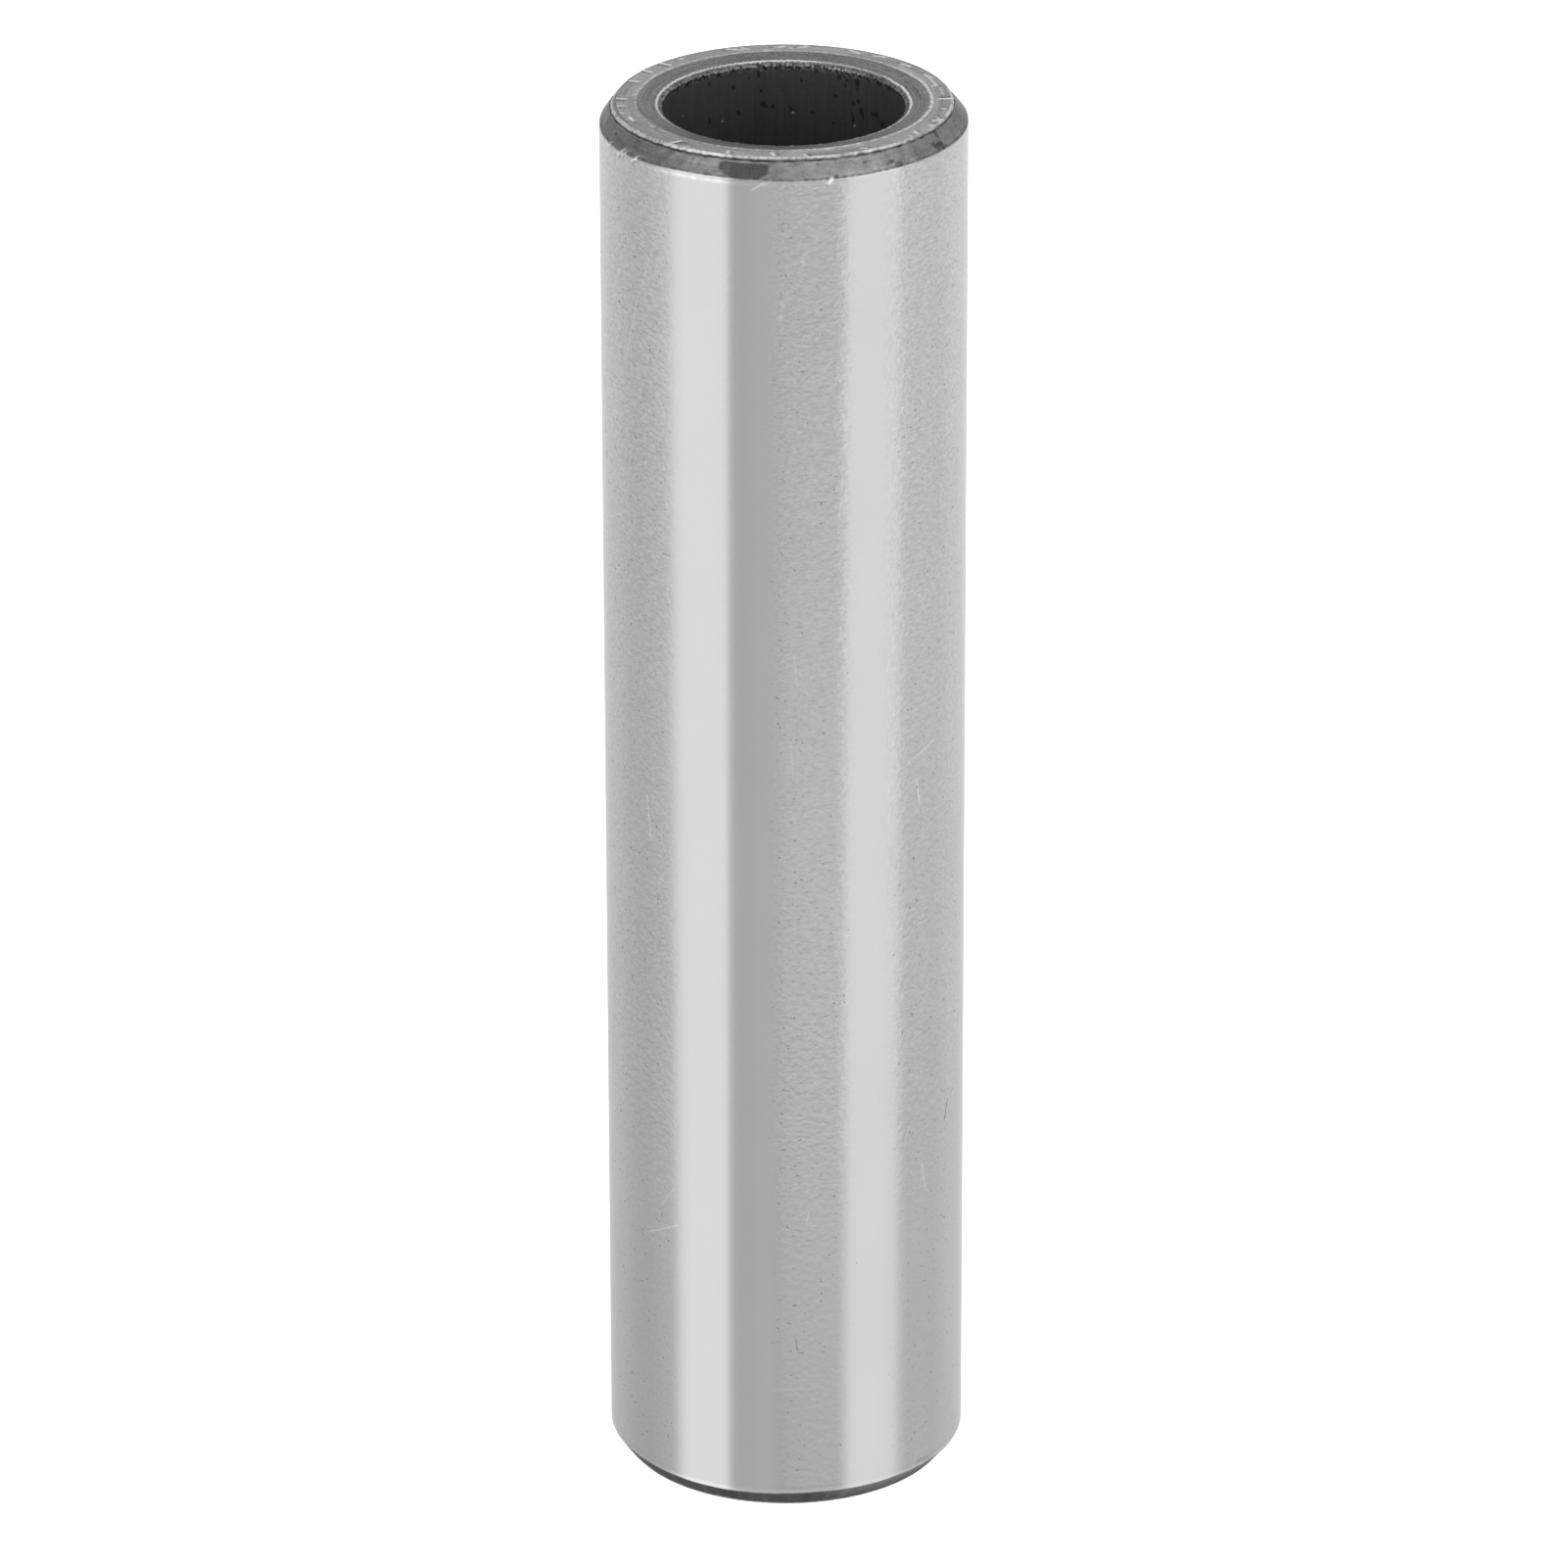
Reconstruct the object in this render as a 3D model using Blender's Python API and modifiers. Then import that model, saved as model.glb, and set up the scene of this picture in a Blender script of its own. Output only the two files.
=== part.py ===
"""A hollow gudgeon pin, the ground steel tube that joins a piston to its connecting rod.

Metres, +Z up. The pin stands on its lower end: the origin is the middle of that end, and +Z is the
pin's axis. The whole pin is one turned section, the cut through its wall, swept once round the axis.
"""

import math

import bpy
from mathutils import Matrix, Vector

MM = 0.001

# Sizes of the tube
OUTSIDE_DIAMETER = 12.0 * MM
LENGTH = 48.4 * MM
WALL = 2.05 * MM

# Chamfer round the outside of each end, which leads the pin into the piston's bosses
CHAMFER_LENGTH = 0.65 * MM  # along the axis
CHAMFER_DEPTH = 0.54 * MM  # towards the axis

# Shallow dish turned into each end face, from the flat land down to the mouth of the bore
DISH_WIDTH = 0.68 * MM
DISH_DEPTH = 0.11 * MM

# Small chamfer at the mouth of the bore
MOUTH_WIDTH = 0.135 * MM
MOUTH_DEPTH = 0.11 * MM

# Radii of the corners after tumbling
GROUND_CORNER_RADIUS = 0.10 * MM  # ground outside to chamfer
LAND_CORNER_RADIUS = 0.07 * MM  # chamfer to land
MOUTH_CORNER_RADIUS = 0.03 * MM  # dish to mouth chamfer, and mouth chamfer to bore

# Facets: round the axis, and along each rounded corner
FACETS_ROUND = 96
FACETS_PER_CORNER = 3
SHARP_ANGLE = math.radians(30.0)

STEEL_COLOUR = (0.60, 0.60, 0.60, 1.0)
STEEL_ROUGHNESS = 0.32


def clear_scene():
    """Remove whatever the file holds, so that the script gives the same part each time."""
    for existing in list(bpy.data.objects):
        bpy.data.objects.remove(existing)


def steel():
    """Fine-ground bearing steel, a neutral grey metal."""
    material = bpy.data.materials.new("ground_steel")
    material.use_nodes = True
    shader = material.node_tree.nodes["Principled BSDF"]
    shader.inputs["Base Color"].default_value = STEEL_COLOUR
    shader.inputs["Metallic"].default_value = 1.0
    shader.inputs["Roughness"].default_value = STEEL_ROUGHNESS
    return material


def end_corners():
    """Corners of one end, from the ground outside in to the bore: radius, depth under the face, rounding."""
    outside = OUTSIDE_DIAMETER / 2
    bore = outside - WALL
    mouth = bore + MOUTH_WIDTH
    dish = mouth + DISH_WIDTH
    return [
        (outside, CHAMFER_LENGTH, GROUND_CORNER_RADIUS),
        (outside - CHAMFER_DEPTH, 0.0, LAND_CORNER_RADIUS),
        (dish, 0.0, 0.0),
        (mouth, DISH_DEPTH, MOUTH_CORNER_RADIUS),
        (bore, DISH_DEPTH + MOUTH_DEPTH, MOUTH_CORNER_RADIUS),
    ]


def section_corners():
    """The closed section of the wall: in along the lower end, up the bore, out along the upper end, and down."""
    lower = [(radius, depth, rounding) for radius, depth, rounding in end_corners()]
    upper = [(radius, LENGTH - depth, rounding) for radius, depth, rounding in end_corners()]
    return lower + upper[::-1]


def rounded_corner(before, corner, after, rounding):
    """Points of the arc of that radius which touches both sides of a corner."""
    if rounding == 0.0:
        return [corner]
    corner, side_in, side_out = Vector(corner), Vector(before), Vector(after)
    side_in, side_out = side_in - corner, side_out - corner
    half_opening = side_in.angle(side_out) / 2
    # A rounding takes at most a third of the shorter side, so that neighbouring arcs never meet
    run = min(rounding / math.tan(half_opening), side_in.length / 3, side_out.length / 3)
    radius = run * math.tan(half_opening)
    first, last = side_in.normalized() * run, side_out.normalized() * run
    centre = (first + last).normalized() * math.hypot(run, radius)
    sweep = (first - centre).angle_signed(last - centre)
    arc = []
    for step in range(FACETS_PER_CORNER + 1):
        spoke = (first - centre).copy()
        spoke.rotate(Matrix.Rotation(-sweep * step / FACETS_PER_CORNER, 2))
        arc.append(tuple(corner + centre + spoke))
    return arc


def section_points():
    """The section with its corners rounded, as points in the plane of the axis."""
    corners = section_corners()
    points = []
    for index, (radius, height, rounding) in enumerate(corners):
        before = corners[index - 1][:2]
        after = corners[(index + 1) % len(corners)][:2]
        points += rounded_corner(before, (radius, height), after, rounding)
    return points


def turn_round_axis(name, points):
    """Sweep a closed section once round Z, as a lathe would leave it."""
    count = len(points)
    mesh = bpy.data.meshes.new(name)
    loop = [(index, (index + 1) % count) for index in range(count)]
    mesh.from_pydata([(radius, 0.0, height) for radius, height in points], loop, [])
    turned = bpy.data.objects.new(name, mesh)
    screw = turned.modifiers.new("turn", "SCREW")
    screw.axis = "Z"
    screw.angle = 2 * math.pi
    screw.steps = FACETS_ROUND
    screw.render_steps = FACETS_ROUND
    screw.use_merge_vertices = True
    screw.merge_threshold = 0.001 * MM
    return turned


def gudgeon_pin(collection):
    """The pin, one solid."""
    pin = turn_round_axis("gudgeon_pin", section_points())
    collection.objects.link(pin)
    depsgraph = bpy.context.evaluated_depsgraph_get()
    turned_mesh = bpy.data.meshes.new_from_object(pin.evaluated_get(depsgraph))
    pin.modifiers.clear()
    pin.data = turned_mesh
    turned_mesh.name = "gudgeon_pin"
    turned_mesh.shade_smooth()
    turned_mesh.set_sharp_from_angle(angle=SHARP_ANGLE)
    turned_mesh.materials.append(steel())
    return pin


def main():
    clear_scene()
    collection = bpy.data.collections.new("gudgeon_pin_part")
    bpy.context.scene.collection.children.link(collection)
    pin = gudgeon_pin(collection)
    print(f"{pin.name}: {len(pin.data.polygons)} faces")


main()
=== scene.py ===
# %% [markdown]
# # A gudgeon pin, from bare solid to ground steel
# A gudgeon pin is a thick tube of hard steel that joins a piston to its connecting rod. This lesson
# takes the plain turned solid as a fixed frame, models the same pin again with the small turning
# marks, nicks and burrs of the real one, and gives each of its surfaces the finish that its last
# machine left on it.

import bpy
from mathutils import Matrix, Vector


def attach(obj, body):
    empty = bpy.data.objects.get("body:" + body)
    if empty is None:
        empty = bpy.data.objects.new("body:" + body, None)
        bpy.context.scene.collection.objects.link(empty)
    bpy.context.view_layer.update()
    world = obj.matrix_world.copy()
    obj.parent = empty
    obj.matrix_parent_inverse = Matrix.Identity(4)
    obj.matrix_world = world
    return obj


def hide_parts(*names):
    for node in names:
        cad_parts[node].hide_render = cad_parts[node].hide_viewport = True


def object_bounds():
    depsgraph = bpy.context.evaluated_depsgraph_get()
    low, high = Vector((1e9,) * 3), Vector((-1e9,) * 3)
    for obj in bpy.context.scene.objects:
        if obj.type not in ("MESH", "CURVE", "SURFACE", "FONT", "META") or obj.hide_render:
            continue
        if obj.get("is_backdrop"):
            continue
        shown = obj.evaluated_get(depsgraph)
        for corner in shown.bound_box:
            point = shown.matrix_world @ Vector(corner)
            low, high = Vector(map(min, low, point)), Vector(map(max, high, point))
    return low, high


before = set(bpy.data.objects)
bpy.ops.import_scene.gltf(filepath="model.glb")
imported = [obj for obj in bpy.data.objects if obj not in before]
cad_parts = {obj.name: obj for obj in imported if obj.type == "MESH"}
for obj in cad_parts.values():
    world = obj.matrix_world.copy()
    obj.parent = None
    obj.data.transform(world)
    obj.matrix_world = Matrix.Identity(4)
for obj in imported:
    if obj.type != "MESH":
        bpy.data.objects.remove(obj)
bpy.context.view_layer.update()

# %% [markdown]
# ## Sizes read from the solid
# The solid already has every size that matters, so nothing is measured twice. Its points lie on
# rings, and each ring says one thing: the widest is the ground outside, the narrowest is the bore,
# and the rings in the top plane bound the flat land. A list of sizes typed in by hand would do too,
# but it would go wrong as soon as the solid changed.

# %% Read the rings of the solid
import math

import bmesh
import bpy
import numpy as np
from mathutils import Matrix

MM = 0.001
HAIR = 0.0005 * MM  # closer than this counts as the same place
NODE = "gudgeon_pin"

corners = np.array([vertex.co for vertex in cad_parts[NODE].data.vertices])
ring_radius = np.hypot(corners[:, 0], corners[:, 1])
ring_height = corners[:, 2]

LENGTH = float(ring_height.max())
OUTSIDE = float(ring_radius.max())
BORE = float(ring_radius.min())
WALL_TOP = float(ring_height[ring_radius > OUTSIDE - HAIR].max())
BORE_TOP = float(ring_height[ring_radius < BORE + HAIR].max())

top_rings = ring_radius[ring_height > LENGTH - HAIR]
LAND_OUTER = float(top_rings.max())
LAND_INNER = float(top_rings.min())

dish_and_mouth = (ring_height > BORE_TOP + HAIR) & (ring_radius < LAND_INNER - 10 * HAIR)
RIM = float(ring_radius[dish_and_mouth & (ring_height > (LENGTH + BORE_TOP) / 2)].max())
print(f"outside {OUTSIDE / MM:.3f}, bore {BORE / MM:.3f}, length {LENGTH / MM:.2f} mm")
print(f"land {LAND_INNER / MM:.3f} to {LAND_OUTER / MM:.3f}, rim {RIM / MM:.3f} mm")

# %% [markdown]
# ## The camera
# The photograph shows the pin upright from a little above, through a long lens, so its sides lean in
# only slightly. The camera could be placed by eye, but a lens, a distance and an angle that look at
# the middle of the pin can be worked out from how much the sides lean in and how round the top looks.
# It is placed by one matrix, because the small roll has to be about the line of sight.

# %% Make the camera
CAMERA_LENS = 228.01  # millimetres, on a sensor 36 mm wide
CAMERA_DISTANCE = 0.33170  # from the middle of the pin
CAMERA_ELEVATION = math.radians(23.516)
CAMERA_ROLL = math.radians(-0.1136)
CAMERA_SIDESTEP = -0.000035

camera = bpy.data.objects.new("camera", bpy.data.cameras.new("camera"))
bpy.context.scene.collection.objects.link(camera)
bpy.context.scene.camera = camera
camera.data.lens = CAMERA_LENS
camera.data.sensor_width = 36.0
camera.data.clip_start = 0.01
camera_place = (
    CAMERA_SIDESTEP,
    -CAMERA_DISTANCE * math.cos(CAMERA_ELEVATION),
    LENGTH / 2 + CAMERA_DISTANCE * math.sin(CAMERA_ELEVATION),
)
camera.matrix_world = (
    Matrix.Translation(camera_place)
    @ Matrix.Rotation(math.pi / 2 - CAMERA_ELEVATION, 4, "X")
    @ Matrix.Rotation(CAMERA_ROLL, 4, "Z")
)
print("camera at", [round(x, 4) for x in camera.location])

# %% [markdown]
# ## Helpers for working by hand
# In the modelling window a person clicks on what the next tool should act on. A script picks by
# place instead: everything is deselected first, then the edges whose middle passes a test are
# selected, and the operator acts on them.

# %% Pick by place


def make_active(thing):
    """Select one object alone, for the next tool to act on."""
    bpy.ops.object.select_all(action="DESELECT")
    thing.select_set(True)
    bpy.context.view_layer.objects.active = thing


def pick_edges(test):
    """Select the edges of the mesh being edited whose middle, as radius and height, passes the test."""
    bpy.ops.mesh.select_all(action="DESELECT")
    shape = bmesh.from_edit_mesh(bpy.context.edit_object.data)
    for edge in shape.edges:
        middle = (edge.verts[0].co + edge.verts[1].co) / 2
        if test(math.hypot(middle.x, middle.y), middle.z):
            edge.select_set(True)
    bmesh.update_edit_mesh(bpy.context.edit_object.data)


def divide(test, parts):
    """Divide the edges that pass the test into that many equal parts."""
    pick_edges(test)
    bpy.ops.mesh.subdivide(number_cuts=parts - 1)


def cut_across(test, level):
    """Put a point where the edges that pass the test cross a height."""
    pick_edges(test)
    bpy.ops.mesh.bisect(plane_co=(0, 0, level), plane_no=(0, 0, 1), threshold=HAIR)


def band(inner, outer, low, high):
    """A test for the edges between two radii and two heights."""
    return lambda radius, level: inner < radius < outer and low < level < high


# %% [markdown]
# ## The section of the wall
# A lathe hand would draw this pin as one section, the cut through its wall. The solid holds that
# section already, so a copy of it is sliced with a plane through the axis, and only the cut edges on
# one side are kept. Drawing it point by point would repeat the sizes. A primitive ring could be
# extruded up and down instead, but then the chamfers would have to be set out a second time.

# %% Slice the section out of the solid
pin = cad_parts[NODE].copy()
pin.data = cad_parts[NODE].data.copy()
pin.name = "ground_pin"
pin.data.name = "ground_pin"
pin.parent = None
pin.data.materials.clear()
for tag in list(pin.keys()):
    del pin[tag]
bpy.context.scene.collection.objects.link(pin)
make_active(pin)
bpy.ops.mesh.customdata_custom_splitnormals_clear()

bpy.ops.object.mode_set(mode="EDIT")
bpy.ops.mesh.select_all(action="SELECT")
bpy.ops.mesh.remove_doubles(threshold=HAIR)
bpy.ops.mesh.bisect(
    plane_co=(0, 0, 0), plane_no=(0, 1, 0), clear_inner=True, clear_outer=True, threshold=HAIR
)
bpy.ops.mesh.select_all(action="DESELECT")
shape = bmesh.from_edit_mesh(pin.data)
for point in shape.verts:
    point.select_set(point.co.x < 0)
bmesh.update_edit_mesh(pin.data)
bpy.ops.mesh.delete(type="VERT")
bpy.ops.mesh.select_all(action="SELECT")
bpy.ops.mesh.remove_doubles(threshold=HAIR)
shape = bmesh.from_edit_mesh(pin.data)
print(f"section: {len(shape.verts)} points, {len(shape.edges)} edges, {len(shape.faces)} faces")

# %% [markdown]
# ## Divide the section where the marks will be
# The turning marks and nicks are about a twentieth of a millimetre across, so the end that is seen
# gets a ring of points about that often. The long wall and the bore are smooth and need only a few.
# A subdivision surface would refine everything alike and round the chamfers off. Dividing each edge
# of the section by its role puts the points where the work is.

# %% Divide the section
MIDDLE = LENGTH / 2
WALL_STRIP = 0.6 * MM  # heights of the strips of wall and bore next to the marked edges
BORE_STRIP = 0.45 * MM
# How many parts the edges of the upper end are divided into
CHAMFER_PARTS = 20
LAND_PARTS = 20
DISH_PARTS = 15
MOUTH_PARTS = 9
LOWER_FINENESS = 0.4  # the end that it stands on is hardly seen, so it gets fewer points

wall = (OUTSIDE - HAIR, OUTSIDE + HAIR)
bore = (BORE - HAIR, BORE + HAIR)
high_cut = WALL_TOP - WALL_STRIP
low_cut = LENGTH - WALL_TOP + WALL_STRIP
bore_cut = BORE_TOP - BORE_STRIP
cut_across(band(*wall, 0.0, LENGTH), high_cut)
cut_across(band(*wall, 0.0, LENGTH), low_cut)
cut_across(band(*bore, 0.0, LENGTH), bore_cut)
divide(band(*wall, high_cut, WALL_TOP), 14)
divide(band(*wall, LENGTH - WALL_TOP, low_cut), 4)
divide(band(*wall, low_cut, high_cut), 12)
divide(band(*bore, bore_cut, BORE_TOP), 10)
divide(band(*bore, LENGTH - BORE_TOP, bore_cut), 10)

for low, high, fineness in ((MIDDLE, LENGTH + HAIR, 1.0), (-HAIR, MIDDLE, LOWER_FINENESS)):
    divide(band(LAND_OUTER + 0.1 * MM, OUTSIDE - 0.1 * MM, low, high), round(CHAMFER_PARTS * fineness))
    divide(band(LAND_INNER, LAND_OUTER, low, high), round(LAND_PARTS * fineness))
    divide(band(RIM, LAND_INNER, low, high), round(DISH_PARTS * fineness))
    divide(band(BORE + 0.02 * MM, RIM - 0.02 * MM, low, high), round(MOUTH_PARTS * fineness))
shape = bmesh.from_edit_mesh(pin.data)
print(f"divided section: {len(shape.verts)} points")
bpy.ops.object.mode_set(mode="OBJECT")

# %% [markdown]
# ## Turn the section into the pin
# A Screw modifier sweeps the section once round the axis, as the lathe does, and closes the tube.
# The spin tool would do the same by hand, but it takes far longer with this many steps. The
# modifier is applied at once, because the marks that follow need real points to move. Its seam is
# merged, and its faces are turned outwards.

# %% Sweep the section round the axis
TURNS = 600  # points round the pin, about one every twentieth of a millimetre

sweep = pin.modifiers.new("sweep", "SCREW")
sweep.axis = "Z"
sweep.angle = 2 * math.pi
sweep.steps = sweep.render_steps = TURNS
sweep.use_merge_vertices = True
sweep.merge_threshold = HAIR / 10
bpy.ops.object.modifier_apply(modifier=sweep.name)

bpy.ops.object.mode_set(mode="EDIT")
bpy.ops.mesh.select_all(action="SELECT")
bpy.ops.mesh.normals_make_consistent(inside=False)
bpy.ops.object.mode_set(mode="OBJECT")
print(f"turned pin: {len(pin.data.vertices)} points, {len(pin.data.polygons)} faces")

# %% [markdown]
# ## Where each point lies
# Every mark on the pin follows the machine that made it, so it is easiest to say where it is the
# machinist's way: at which angle round the axis, at which radius, and how deep under the end face.
# Angles are in degrees, anticlockwise seen from above, from the right-hand side of the photograph:
# the side towards the camera is at 270.

# %% Measure the points
points = np.empty(len(pin.data.vertices) * 3)
pin.data.vertices.foreach_get("co", points)
points = points.reshape(-1, 3)
angle = np.degrees(np.arctan2(points[:, 1], points[:, 0])) % 360
radius = np.hypot(points[:, 0], points[:, 1])
upper = points[:, 2] > MIDDLE
depth = np.where(upper, LENGTH - points[:, 2], points[:, 2])
CHAMFER_FOOT = LENGTH - WALL_TOP  # how deep under the end face the ground outside begins
MOUTH_FOOT = LENGTH - BORE_TOP  # how deep the bore begins

on_face = depth < HAIR
past_land = radius - LAND_OUTER
slope = math.hypot(OUTSIDE - LAND_OUTER, CHAMFER_FOOT)
# How far down the chamfer a point is: 0 at the land, 1 at the wall, and less than 0 on the land
down_chamfer = np.where(on_face, past_land, np.hypot(past_land, depth) * np.sign(past_land)) / slope
print(f"chamfer down to {CHAMFER_FOOT / MM:.3f} mm, mouth down to {MOUTH_FOOT / MM:.3f} mm")

# %% [markdown]
# ## Shapes that marks are made of
# A few small functions describe every mark. A bead or groove is a bump across one radius. A ragged
# edge is a sum of waves round the axis, and a rough surface is a sum of waves in all directions.
# Each takes its own seed, so the pin comes out the same on every run. Blender's Displace modifier
# could roughen the mesh too, but it can't put one burr at one place.

# %% Describe beads, edges and rough patches


def rise(value, low, high):
    """From 0 at low to 1 at high, with a smooth turn at both ends."""
    part = np.clip((value - low) / (high - low), 0, 1)
    return part * part * (3 - 2 * part)


def bead(value, middle, half_width):
    """1 in the middle, falling to 0 at half a width to either side."""
    return np.clip(1 - ((value - middle) / half_width) ** 2, 0, 1) ** 2


def apart(first, second):
    """The angle from one direction to another, the short way round."""
    return (first - second + 180) % 360 - 180


def ragged(longest, shortest, seed):
    """Ups and downs round the axis, mostly between -1 and 1, with waves of those lengths in degrees."""
    chance = np.random.default_rng(seed)
    turns = np.arange(round(360 / longest), round(360 / shortest) + 1)
    total = np.zeros(len(angle))
    for count in turns:
        total += chance.normal() * np.cos(count * np.radians(angle) + chance.uniform(0, 2 * math.pi))
    return total / math.sqrt(len(turns))


def uneven(along, size, seed, waves=48):
    """Ups and downs over a surface, mostly between -1 and 1, with waves of about that size."""
    chance = np.random.default_rng(seed)
    total = np.zeros(len(angle))
    for _ in range(waves):
        heading = chance.uniform(0, 2 * math.pi)
        stiffness = 2 * math.pi / (size * chance.uniform(0.7, 1.6))
        turns = round(stiffness * math.cos(heading) * OUTSIDE)
        phase = turns * np.radians(angle) + stiffness * math.sin(heading) * along
        total += np.cos(phase + chance.uniform(0, 2 * math.pi))
    return total * math.sqrt(2 / waves)


def wander(*places):
    """A level that runs round the axis through the given ones, each an angle and a level."""
    return np.interp(angle, *zip(*places))


def stroke(start_angle, start_radius, end_angle, end_radius, half_width):
    """1 on a short straight stroke across the end face, and 0 beside it. Radii are in millimetres."""
    across = np.radians(apart(angle, start_angle)) * start_radius
    outwards = radius / MM - start_radius
    run = math.radians(apart(end_angle, start_angle)) * start_radius
    climb = end_radius - start_radius
    part = np.clip((across * run + outwards * climb) / (run**2 + climb**2), 0, 1)
    return bead(np.hypot(across - part * run, outwards - part * climb), 0, half_width)


# %% [markdown]
# ## The flat land
# The land is the ring that the pin would stand on. It was faced by a tool that chattered: two tracks,
# each a row of shallow facets that dip and end in a small step. The inner edge of the land keeps
# its full height as a fine ridge, so the pin is still as long as the solid says, and its outer edge
# carries a thin rolled burr with a groove behind it. The step places are read from the photograph,
# and the dips between them only go down into the metal.

# %% Face the land
INNER_STEPS = (15, 41, 64, 104, 138, 176, 214, 246, 272, 301, 334)
OUTER_STEPS = (
    3, 16, 27, 41, 53, 64, 82, 92, 104, 109, 122, 130, 137, 147, 160, 178, 186, 201, 229, 234, 250,
    266, 277, 299, 312, 323, 336, 348,
)
STROKES = (
    # angle and radius where it starts and ends, strength
    (1.1, 5.06, 1.6, 5.42, 1.0), (13.2, 5.22, 6.4, 5.18, 0.4), (23.1, 5.2, 15.5, 5.14, 0.6),
    (15.5, 5.14, 15.4, 5.02, 0.5), (28.3, 5.21, 24.3, 5.25, 0.8), (42.5, 5.21, 38.4, 5.27, 0.9),
    (55.7, 5.24, 51.7, 5.35, 0.8), (65.7, 5.29, 61.7, 5.2, 0.8), (84.5, 5.19, 81.6, 5.33, 0.9),
    (87.7, 5.11, 86.8, 5.09, 0.4), (93.1, 5.22, 90.0, 5.27, 0.8), (97.7, 4.89, 96.2, 4.93, 0.4),
    (104.9, 5.27, 103.0, 5.1, 0.6), (110.4, 5.31, 105.4, 5.09, 0.9), (130.7, 5.27, 128.9, 5.29, 0.6),
    (138.0, 5.37, 137.3, 5.04, 0.9), (147.4, 5.43, 147.5, 5.13, 0.8), (159.0, 5.35, 158.8, 5.07, 0.7),
    (177.9, 5.48, 178.5, 5.13, 0.9), (185.4, 5.39, 185.9, 5.21, 0.6), (192.4, 5.4, 193.9, 5.33, 0.4),
    (198.3, 5.23, 202.2, 5.23, 0.9), (210.1, 4.91, 211.4, 4.9, 0.6), (228.4, 5.38, 229.7, 5.12, 0.9),
    (232.8, 5.45, 235.6, 5.4, 0.5), (249.8, 5.18, 250.2, 5.34, 0.7), (265.8, 5.05, 266.6, 5.25, 0.7),
    (277.3, 5.2, 277.6, 5.36, 0.6), (286.0, 4.89, 289.2, 4.85, 0.5), (298.3, 5.21, 299.8, 5.29, 0.6),
    (319.8, 5.3, 320.0, 5.45, 0.4), (324.5, 5.17, 323.4, 5.34, 0.6), (333.0, 5.32, 335.6, 5.5, 0.9),
    (337.5, 5.23, 339.8, 5.42, 0.9), (341.0, 5.24, 339.5, 5.37, 0.5), (351.1, 5.19, 350.6, 5.28, 0.5),
)
STROKE_WIDTH = 0.095  # half the width of a stroke, in millimetres
STROKE_HEIGHT = 0.015 * MM
TRACK_EDGE = 5.064 * MM  # where the two tracks meet
FACET_DIP = 0.014 * MM
TRACK_DROP = 0.006 * MM


def facets(steps, seed):
    """How far along its facet each point is, 0 to 1, and a random shade for the facet."""
    chance = np.random.default_rng(seed)
    along = np.zeros(len(angle))
    shade = np.zeros(len(angle))
    for start, end in zip(steps, steps[1:] + (steps[0] + 360,)):
        part = (angle - start) % 360 / (end - start)
        inside = part < 1
        along[inside] = part[inside]
        shade[inside] = chance.uniform(0, 1)
    return along, shade


inner_along, inner_shade = facets(INNER_STEPS, 31)
outer_along, outer_shade = facets(OUTER_STEPS, 32)
on_land = on_face & (radius > LAND_INNER - HAIR)
inner_track = rise(radius, LAND_INNER + 0.02 * MM, LAND_INNER + 0.07 * MM)
outer_track = rise(radius, TRACK_EDGE - 0.03 * MM, TRACK_EDGE + 0.03 * MM)

strokes = np.zeros(len(angle))
stroke_shadows = np.zeros(len(angle))
for start_angle, start_radius, end_angle, end_radius, strength in STROKES:
    mark = stroke(start_angle, start_radius, end_angle, end_radius, STROKE_WIDTH)
    shadow = stroke(start_angle + 1.5, start_radius, end_angle + 1.5, end_radius, STROKE_WIDTH)
    strokes = np.maximum(strokes, strength * mark)
    stroke_shadows = np.maximum(stroke_shadows, strength * shadow)

sink = np.zeros(len(angle))
land_sink = inner_track * (TRACK_DROP + FACET_DIP * 0.5 * inner_along * (1 - outer_track))
land_sink += outer_track * (TRACK_DROP + FACET_DIP * (0.3 + 0.7 * outer_shade) * outer_along)
land_sink += inner_track * STROKE_HEIGHT * (0.6 * stroke_shadows - strokes)
sink[on_land] += land_sink[on_land]
print(f"{on_land.sum()} points on the lands, deepest facet {land_sink.max() / MM:.3f} mm")

# %% [markdown]
# ## Burr and groove at the land's outer edge
# Where the chamfer meets the land, the tool rolled a thin lip over and left a narrow dark groove
# outside it. It runs all the way round, with weaker stretches. The groove is real, so it keeps its
# shadow from every side, and its colour carries a painted shadow too, as the burr's carries a painted
# highlight.

# %% Roll the burr
GROOVE_DEPTH = 0.035 * MM
BURR_HEIGHT = 0.010 * MM
# Half widths, and how far above the groove the burr lies, as parts of the chamfer
GROOVE_WIDTH = 0.062
BURR_WIDTH = 0.10
BURR_ABOVE = 0.12
SLANT = 0.7  # a move square to the chamfer goes about as much along the axis as across it

swell = np.zeros(len(angle))
near_corner = (down_chamfer < 0.6) & (radius > TRACK_EDGE)
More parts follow.
